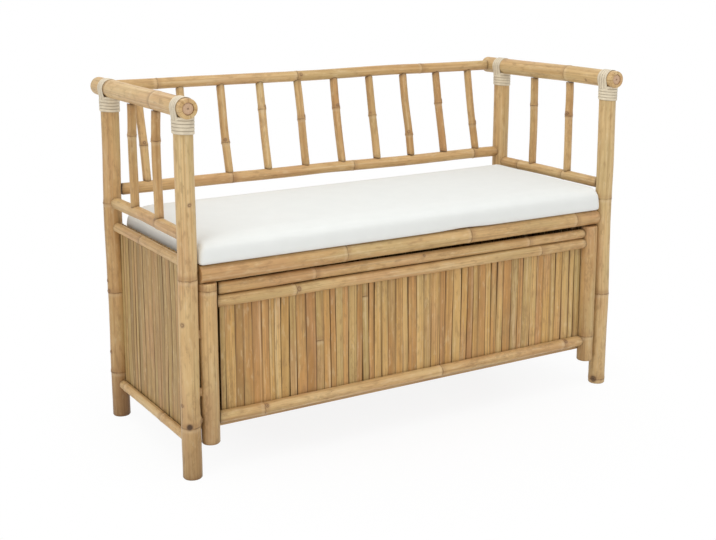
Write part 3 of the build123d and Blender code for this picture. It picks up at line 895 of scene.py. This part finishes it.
# Side panels
# At each side of the box a top and a bottom rail run between the posts. Their inner sides are planed
# flat, and a row of thin split slats stands against them.
def panel_rail(node, run, ends, neighbour, planed=None, drop=0.0, **growth):
    """A rail along x or y from post to post. planed is its flat side's direction, drop lowers its far end."""
    low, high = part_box(node)
    middle = (low + high) / 2
    across = "y" if run == "x" else "x"
    radius = half_of(node, "z")
    if planed is not None:
        towards = getattr(planed, across)
        axis_at = getattr(low, across) + radius if towards > 0 else getattr(high, across) - radius
        flat_at = getattr(high, across) if towards > 0 else getattr(low, across)
        setattr(middle, across, axis_at)
        growth.update(planed_side=tuple(planed), planed_reach=abs(flat_at - axis_at))
    first, last = middle.copy(), middle.copy()
    setattr(first, run, ends[0])
    setattr(last, run, ends[1])
    last.z -= drop
    return between(node, first, last, radius, (neighbour, neighbour), (0, 0, 1), bow=0.0007, **growth)


slat_sizes = {"Facing": (0.0, -1.0, 0.0), "Run": (1.0, 0.0, 0.0), "Turn": 0.0, "Crown": 0.0022,
              "Wander": 0.0028, "Sway": 0.0, "Ridge": 0.0003}
slat_node_reach = 0.009
tone_shift = (2.1, 1.3, 0.7)
wander_pace, sway_pace = (7.0, 60.0, 0.0), (9.0, 9.0, 4.5)
slat_tree, size = begin_tree("split slats", slat_sizes)
blank_inputs = {"Size": (1.0, 1.0, 1.0), "Vertices X": 5, "Vertices Y": 2, "Vertices Z": 22}
blank = put(slat_tree, "GeometryNodeMeshCube", blank_inputs)
unit_x, unit_y, unit_z = axes(point_place(slat_tree))
blank = keep(blank, across=unit_x, upright=unit_z, outer=unit_y < 0.0)
slat_size = join_axes(*(kept(slat_tree, label) for label in ("slat_width", "slat_depth", "slat_height")))
turn = put(slat_tree, "FunctionNodeEulerToRotation", {0: join_axes(0.0, 0.0, size["Turn"])})
slats = set_on(size["Geometry"], blank, Rotation=turn, Scale=slat_size)
slats = put(slat_tree, "GeometryNodeRealizeInstances", {"Geometry": slats})
place = point_place(slat_tree)
_, _, height = axes(place)
slat_tone = kept(slat_tree, "slat_tone")
grain = join_axes(height, dot(place, size["Run"]), dot(place, size["Facing"])) + slat_tone * tone_shift
ring_near = height - kept(slat_tree, "slat_node")
slats = keep(slats, ring_near=ring_near, end_near=1.0, grain=grain, tone=slat_tone)
edge = kept(slat_tree, "across") * 2.0
ridge = node_profile(kept(slat_tree, "ring_near"), slat_node_reach) * size["Ridge"]
proud = ((1.0 - edge * edge) * size["Crown"] + ridge) * kept(slat_tree, "outer")
slats = shifted(slats, size["Facing"] * proud)
wander = noise_at(kept(slat_tree, "grain", "FLOAT_VECTOR") * wander_pace, 1.0, 1.0) - 0.5
sway = noise_at(place * sway_pace, 1.0, 0.0) - 0.5
aside = wander * size["Wander"] + kept(slat_tree, "upright") * kept(slat_tree, "slat_lean")
slats = shifted(slats, size["Run"] * (aside + sway * size["Sway"]))
end_tree(slats, size["Material"])

slat_colours = [(0.35, 0.225, 0.082), (0.5, 0.335, 0.122), (0.7, 0.45, 0.172),
                (0.61, 0.355, 0.11), (0.58, 0.31, 0.102), (0.4, 0.195, 0.053)]
# Darker, greyer colours for the side panels' slats: partly the slats' own weathered tone, partly painted
# shade.
side_slat_colours = [(0.28, 0.178, 0.065), (0.405, 0.264, 0.096), (0.505, 0.331, 0.121),
                     (0.428, 0.259, 0.089), (0.346, 0.196, 0.063)]
slat_bamboo = bamboo("split bamboo", slat_colours, 0.35, 0.55, 0.52)
side_slat_bamboo = bamboo("greyed split bamboo with painted shade", side_slat_colours, 0.35, 0.55, 0.55)


def solid_boxes(node):
    """The boxes of a node's separate solids, in their order along the panel."""
    copy = bmesh.new()
    copy.from_mesh(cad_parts[node].data)
    bmesh.ops.remove_doubles(copy, verts=copy.verts, dist=1e-6)
    boxes, left = [], set(copy.verts)
    while left:
        solid, queue = [], [left.pop()]
        while queue:
            vertex = queue.pop()
            solid.append(vertex.co)
            joined = left.intersection(edge.other_vert(vertex) for edge in vertex.link_edges)
            left -= joined
            queue += joined
        boxes.append([Vector([pick(values) for values in zip(*solid)]) for pick in (min, max)])
    copy.free()
    return sorted(boxes, key=lambda box: tuple(round(value, 5) for value in box[0]))


def slat_panel(node, facing, finish, gaps, seed, wander=0.0026, sway=0.0, end_slit=0.0):
    """Split slats in place of a panel's CAD slats, each with its own gap, tone, lean and perhaps a node."""
    stagger, node_odds, tone_bias = 0.0009, 0.05, 1.9
    draw = random.Random(seed)
    boxes = solid_boxes(node)
    facing = Vector(facing)
    run = Vector((0, 0, 1)).cross(facing) * -1
    crown_room = slat_sizes["Crown"] + slat_sizes["Ridge"]
    spans = sorted(sorted((low.dot(run), high.dot(run))) for low, high in boxes)
    cad_gap = spans[1][0] - spans[0][1]
    places, slats = [], []
    for low, high in boxes:
        size = high - low
        back = crown_room + draw.uniform(0, stagger)
        width = abs(size.dot(run)) + cad_gap - draw.choice(gaps)
        tone = draw.betavariate(tone_bias, tone_bias)
        node_at = draw.uniform(low.z, high.z) if draw.random() < node_odds else -1.0
        lean = draw.gauss(0, 0.5 * wander)
        places.append((low + high) / 2 - facing * back / 2)
        slats.append([width, abs(size.dot(facing)) - back, size.z, tone, node_at, lean])
    slats[0][0] -= end_slit
    places[0] += (places[1] - places[0]).normalized() * end_slit / 2
    points = point_mesh(node + "_places", places)
    labels = ("slat_width", "slat_depth", "slat_height", "slat_tone", "slat_node", "slat_lean")
    for label, values in zip(labels, zip(*slats)):
        points.attributes.new(label, "FLOAT", "POINT").data.foreach_set("value", values)
    sizes = {"Facing": tuple(facing), "Run": tuple(run), "Turn": math.atan2(run.y, run.x)}
    sizes.update({"Wander": wander, "Sway": sway, "Material": finish})
    return stand_for(grown(node + "_split", slat_tree, sizes, points), "frame", "bamboo_slat", node)


front_y, rear_y = middle_of("post_front_left").y, middle_of("post_rear_left").y
side_gaps = (0.0001, 0.0006, 0.0018)
for name, hand in sides.items():
    inner = Vector((-hand, 0, 0))
    ends = (front_y, rear_y)
    panel_rail(f"side_top_rail_{name}", "y", ends, post_radius, inner, nodes=(0.225,), tone=0.5)
    panel_rail(f"side_bottom_rail_{name}", "y", ends, post_radius, inner, nodes=(0.14, 0.35), tone=0.46)
    slat_panel(f"side_slats_{name}", (hand, 0, 0), side_slat_bamboo, side_gaps, seed=11 + hand,
               wander=0.0036, sway=0.014)


# Front panel
# Two thick stiles stand beside the front posts, tied to them with loose tenons. Between them run an
# upper rail, a second rail close below it and a bottom rail, and split slats stand behind the lower two.
stile_radius = half_of("front_stile_left", "y")
stile_growth = {
    "left": dict(nodes=(0.312,), tone=0.45, foot_shade=0.55),
    "right": dict(nodes=(0.06,), tone=0.64, foot_shade=0.3),
}
for name, growth in stile_growth.items():
    node = f"front_stile_{name}"
    culm(node, *ends_of(node, "z"), stile_radius, bow=0.0006, end_round=0.0016, **growth)
stile_x = middle_of("front_stile_right").x
stiles = (-stile_x, stile_x)
front_inside = Vector((0, 1, 0))
panel_rail("front_upper_rail", "x", stiles, stile_radius, drop=0.0022, gap=0.003, taper=0.12,
           nodes=(0.235, 0.788), tone=0.63, scars=((0.5, (0, -0.8, 0.6), 0.004, 0.0006),))
panel_rail("front_slat_rail", "x", stiles, stile_radius, front_inside, nodes=(0.189, 0.823), tone=0.51,
           scars=((0.194, (0, -1, 0.15), 0.0055, 0.0018),))
panel_rail("front_bottom_rail", "x", stiles, stile_radius, front_inside, nodes=(0.115, 0.55, 0.9), tone=0.51,
           scars=((0.12, (0, -0.8, 0.6), 0.005, 0.0014), (0.905, (0, -0.7, 0.7), 0.006, 0.0014)))
front_gaps = (0.0001, 0.0001, 0.0004, 0.0009, 0.002)
slat_panel("front_slats", (0, -1, 0), slat_bamboo, front_gaps, seed=27, sway=0.005, end_slit=0.0072)


# Rear panel
# The box's rear is closed like its front, with three rails between the rear posts and split slats.
# The top rail carries the lid's hinges in two shallow mortises.
posts = (-post_x, post_x)
rear_inside = Vector((0, -1, 0))
rear_gaps = (-0.0006, -0.0003)
rear_top = panel_rail("rear_top_rail", "x", posts, post_radius, nodes=(0.3, 0.66), tone=0.5)
leaf_boxes = solid_boxes("hinge_fixed_leaves")
mortise_floor = leaf_boxes[0][1].y
for vertex in rear_top.data.vertices:
    if any(low.x < vertex.co.x < high.x for low, high in leaf_boxes):
        vertex.co.y = max(vertex.co.y, mortise_floor)
panel_rail("rear_slat_rail", "x", posts, post_radius, rear_inside, nodes=(0.2, 0.57, 0.92), tone=0.46)
panel_rail("rear_bottom_rail", "x", posts, post_radius, rear_inside, nodes=(0.26, 0.6, 0.9), tone=0.54)
slat_panel("rear_slats", (0, 1, 0), slat_bamboo, rear_gaps, seed=41, wander=0.0008)


# Box floor, tenons and lid frame
# The box's floor boards lie on two ledgers. The lid is a frame of sawn battens with thin boards across it
# and a thick bamboo pole along its front edge. The loose tenons are sawn from the same wood.
def sawn_finish(name, pale, dark, along, board=None):
    """Sawn wood with its grain along one axis; board is the pitch at which boards change tone along x."""
    finish, tree, shader = begin_finish(name)
    along_pace, across_pace = 9.0, 160.0
    place = rest_place(tree)
    paces = tuple(along_pace if axis == along else across_pace for axis in "xyz")
    fibres = noise_at(place * paces, 1.0, 4.0)
    wood = blended(ramped(fibres, 0.3, 0.72), pale, dark)
    if board:
        x, _, _ = axes(place)
        count = reckon("FLOOR", x / board)
        chance = put(tree, "ShaderNodeTexWhiteNoise", {"W": count}, noise_dimensions="1D")
        wood = blended(chance * 0.4, wood, (0.36, 0.175, 0.065))
    surfaced(shader, wood, 0.62, fibres, depth=0.0005)
    return finish


def dress(finish, *nodes):
    for node in nodes:
        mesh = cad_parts[node].data
        mesh.materials.clear()
        mesh.materials.append(finish)


batten_pale, batten_dark = (0.55, 0.36, 0.17), (0.4, 0.23, 0.095)
batten_along_x = sawn_finish("sawn batten along the seat", batten_pale, batten_dark, "x")
batten_along_y = sawn_finish("sawn batten across the seat", batten_pale, batten_dark, "y")
board_pitch = 0.0612
board_wood = sawn_finish("thin board", (0.57, 0.38, 0.18), (0.44, 0.26, 0.11), "y", board_pitch)
dress(batten_along_x, "floor_ledger_front", "floor_ledger_rear", "lid_rear_batten", "front_panel_tenons")
dress(batten_along_y, "lid_end_batten_left", "lid_end_batten_right", "lid_bearer")
dress(board_wood, "floor_boards", "lid_boards")
thick_end, thin_end = ends_of("lid_front_rail", "x")
lid_radius = half_of("lid_front_rail", "z")
lid_taper = 0.06
thin_end.z += lid_radius * lid_taper
culm("lid_front_rail", thick_end, thin_end, lid_radius, body="lid", taper=lid_taper,
     nodes=(0.324, 0.638, 0.94), tone=0.63, bow=0.0004, kink=0.0003, end_round=0.0007)


# Hinges
# Two steel butt hinges join the lid's rear batten to the rear top rail: a leaf on each side, let in
# flush, rolled round a drawn pin and screwed down.
def steel_finish():
    finish, tree, shader = begin_finish("zinc plated steel")
    clouds = noise_at(rest_place(tree), 240.0, 3.0)
    connect(shader["Base Color"], blended(clouds, (0.55, 0.56, 0.57), (0.42, 0.43, 0.44)))
    connect(shader["Roughness"], mapped(clouds, 0.0, 1.0, 0.28, 0.5))
    shader["Metallic"].default_value = 1.0
    return finish


hinge_steel = steel_finish()
dress(hinge_steel, "hinge_fixed_leaves", "hinge_lid_leaves", "hinge_pins")
screw_sizes = {"Head Radius": 0.0027, "Head Height": 0.0004, "Slot": 0.0007, "Turn": 0.0}
slot_seed = 5
screw_tree, size = begin_tree("hinge screws", screw_sizes)
head_inputs = {"Vertices": 24, "Radius Top": size["Head Radius"] * 0.8, "Radius Bottom": size["Head Radius"],
               "Depth": size["Head Height"] * 2.0}
head = put(screw_tree, "GeometryNodeMeshCone", head_inputs)
slot_size = join_axes(size["Head Radius"] * 3.0, size["Slot"], size["Head Height"])
slot = put(screw_tree, "GeometryNodeMeshCube", {"Size": slot_size})
slot_lift = join_axes(0.0, 0.0, size["Head Height"] * 1.8)
slot = put(screw_tree, "GeometryNodeTransform", {"Geometry": slot, "Translation": slot_lift})
head = put(screw_tree, "GeometryNodeMeshBoolean", {0: head, 1: slot}, operation="DIFFERENCE")
slot_range = {2: 0.0, 3: math.pi, "Seed": slot_seed}
slot_turn = put(screw_tree, "FunctionNodeRandomValue", slot_range, 1, data_type="FLOAT")
tilt = put(screw_tree, "FunctionNodeEulerToRotation", {0: join_axes(size["Turn"], 0.0, 0.0)})
spun = put(screw_tree, "FunctionNodeEulerToRotation", {0: join_axes(0.0, 0.0, slot_turn)})
heads = set_on(size["Geometry"], head, Rotation=tilt)
heads = put(screw_tree, "GeometryNodeRotateInstances", {"Instances": heads, "Rotation": spun})
end_tree(heads, size["Material"])
screw_spread, screw_height = 0.017, 0.009
plate_thickness = 0.0015
for node, body, hand in (("hinge_fixed_leaves", "frame", -1), ("hinge_lid_leaves", "lid", 1)):
    spots = []
    for low, high in solid_boxes(node):
        face_y = high.y - plate_thickness if hand < 0 else low.y + plate_thickness
        x, z = (low.x + high.x) / 2, low.z + screw_height
        spots += [(x + k * screw_spread, face_y, z) for k in (-1, 0, 1)]
    screw_fit = {"Turn": -hand * math.pi / 2, "Material": hinge_steel}
    screw_places = point_mesh(node + "_screw_places", spots)
    screws = grown(node.replace("leaves", "screws"), screw_tree, screw_fit, screw_places)
    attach(screws, body)


# Cushion
# One loose seat cushion of white woven cloth over a foam slab, sewn as a box with soft edges. Its flat
# underside rests on the lid, and the back's lower rail presses on it when the lid is wide open.
def cushion_finish():
    """White cotton: a plain weave of fine threads, with a faint unevenness in the cloth."""
    finish, tree, shader = begin_finish("white cotton")
    place = rest_place(tree)
    x, y, z = axes(place)
    thread_pitch = 0.0016
    thread = 2 * math.pi / thread_pitch
    weave = reckon("SINE", x * thread) * reckon("SINE", (y + z) * thread)
    patches = ramped(noise_at(place, 26.0, 3.0), 0.3, 0.7)
    cloth = blended(patches, (0.829, 0.844, 0.819), (0.815, 0.83, 0.805))
    cloth = blended(ramped(weave, 0.2, 1.0) * 0.1, cloth, (0.72, 0.74, 0.735))
    surfaced(shader, cloth, 0.9, weave, 0.25, 0.0004)
    shader["Sheen Weight"].default_value = 0.15
    shader["Sheen Roughness"].default_value = 0.5
    return finish


cushion_low, cushion_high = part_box("cushion")
end_reach, front_set_back, rear_reach = 0.0065, 0.003, 0.0125
edge_height = 0.0475
slab_low = Vector((cushion_low.x - end_reach, cushion_low.y + front_set_back, cushion_low.z))
slab_high = Vector((cushion_high.x + end_reach, cushion_high.y + rear_reach, cushion_low.z + edge_height))
lower_round, upper_rounds = 0.009, (0.014, 0.03, 0.024)
crown, right_rise, rear_rise = 0.0025, 0.006, 0.0035
left_fall, left_slope = 0.013, 0.06
front_lift, lift_at, lift_width, lift_depth = 0.0032, 0.115, 0.045, 0.03


def cuts(low, high, near):
    """Places of the cuts across one side of the slab: close together near both edges, even between."""
    even_step = 0.013
    first, last = low + near[-1], high - near[-1]
    spans = max(1, round((last - first) / even_step))
    middle = [first + (last - first) * k / spans for k in range(1, spans)]
    return [low + n for n in near] + middle + [high - n for n in reversed(near)]


def softened(spot):
    """A point of the slab moved onto its rounded edges and its low crown."""
    up = (spot.z - slab_low.z) / edge_height
    ease = up * up * (3 - 2 * up)
    rounds = [lower_round + (upper - lower_round) * ease for upper in upper_rounds]
    core = [min(max(spot[i], slab_low[i] + rounds[i]), slab_high[i] - rounds[i]) for i in range(3)]
    way = Vector([(spot[i] - core[i]) / rounds[i] for i in range(3)]).normalized()
    place = Vector([core[i] + way[i] * rounds[i] for i in range(3)])
    share_x = 2 * (place.x - slab_low.x) / (slab_high.x - slab_low.x) - 1
    share_y = 2 * (place.y - slab_low.y) / (slab_high.y - slab_low.y) - 1
    place.z += up * crown * (1 - share_x ** 4) * (1 - share_y ** 2)
    place.z += up * (right_rise * (share_x + 1) + rear_rise * (share_y + 1)) / 2
    lifted = math.exp(-((place.x - lift_at) / lift_width) ** 2)
    lifted *= max(0, 1 - (place.y - slab_low.y) / lift_depth)
    place.z += (1 - up) * front_lift * lifted
    behind = min(1, (place.y - slab_low.y) / left_slope)
    place.z -= up * behind * left_fall * max(0, 1 - (place.x - slab_low.x) / left_slope) ** 2
    return place


edge_cuts = (0, 0.0035, 0.008, 0.013, 0.019, 0.026, 0.034)
cuts_by_axis = (edge_cuts, edge_cuts, edge_cuts[:5])
places = [cuts(low, high, near) for low, high, near in zip(slab_low, slab_high, cuts_by_axis)]
slab = bmesh.new()
grid_points = {}


def grid_point(spot):
    if spot not in grid_points:
        grid_points[spot] = slab.verts.new(softened(Vector(spot)))
    return grid_points[spot]


for axis, u, v in ((0, 1, 2), (1, 2, 0), (2, 0, 1)):
    for end in (0, -1):
        for i in range(len(places[u]) - 1):
            for j in range(len(places[v]) - 1):
                loop = []
                for a, b in ((i, j), (i + 1, j), (i + 1, j + 1), (i, j + 1)):
                    spot = [0, 0, 0]
                    spot[axis], spot[u], spot[v] = places[axis][end], places[u][a], places[v][b]
                    loop.append(grid_point(tuple(spot)))
                slab.faces.new(loop if end else loop[::-1])
cushion_mesh = bpy.data.meshes.new("seat_cushion")
slab.to_mesh(cushion_mesh)
slab.free()
cushion = in_scene("seat_cushion", cushion_mesh)


def from_edge(spot):
    """How far a point of the flat slab is from its nearest edge."""
    return sorted(min(spot[i] - slab_low[i], slab_high[i] - spot[i]) for i in range(3))[1]


seam_reach = 0.03
last_moment = 20
most_move, most_swell = 0.002, Vector((0.001, 0.002, 0))
free_top = Vector((0, 0, 1))
still = [vertex.co.copy() for vertex in cushion_mesh.vertices]
seams = cushion.vertex_groups.new(name="seams")
for vertex, spot in zip(cushion_mesh.vertices, grid_points):
    spot = Vector(spot)
    hold = 1.0 if spot.z == slab_low.z else max(0.0, 1.0 - from_edge(spot) / seam_reach)
    seams.add([vertex.index], hold, "REPLACE")
cloth = cushion.modifiers.new("cloth", "CLOTH")
cloth.settings.use_pressure = True
cloth.settings.uniform_pressure_force = 4.0
cloth.settings.effector_weights.gravity = 0.0
cloth.settings.vertex_group_mass = "seams"
cloth.point_cache.frame_start = 1
cloth.point_cache.frame_end = last_moment
for moment in range(1, last_moment + 1):
    bpy.context.scene.frame_set(moment)
made_plain(cushion)
bpy.context.scene.frame_set(1)
swollen_low, swollen_high = slab_low - most_swell, slab_high + most_swell + free_top
for vertex, start in zip(cushion.data.vertices, still):
    move = vertex.co - start
    if move.length > most_move:
        move *= most_move / move.length
    place = start + move
    vertex.co = [min(max(place[i], swollen_low[i]), swollen_high[i]) for i in range(3)]
smoothing = cushion.modifiers.new("soften", "SUBSURF")
smoothing.levels = 1
smoothing.render_levels = 1
made_plain(cushion)
cushion.data.materials.clear()
cushion.data.materials.append(cushion_finish())
for face in cushion.data.polygons:
    face.use_smooth = True
stand_for(cushion, "cushion", "cushion_fabric", "cushion")
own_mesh(cushion)
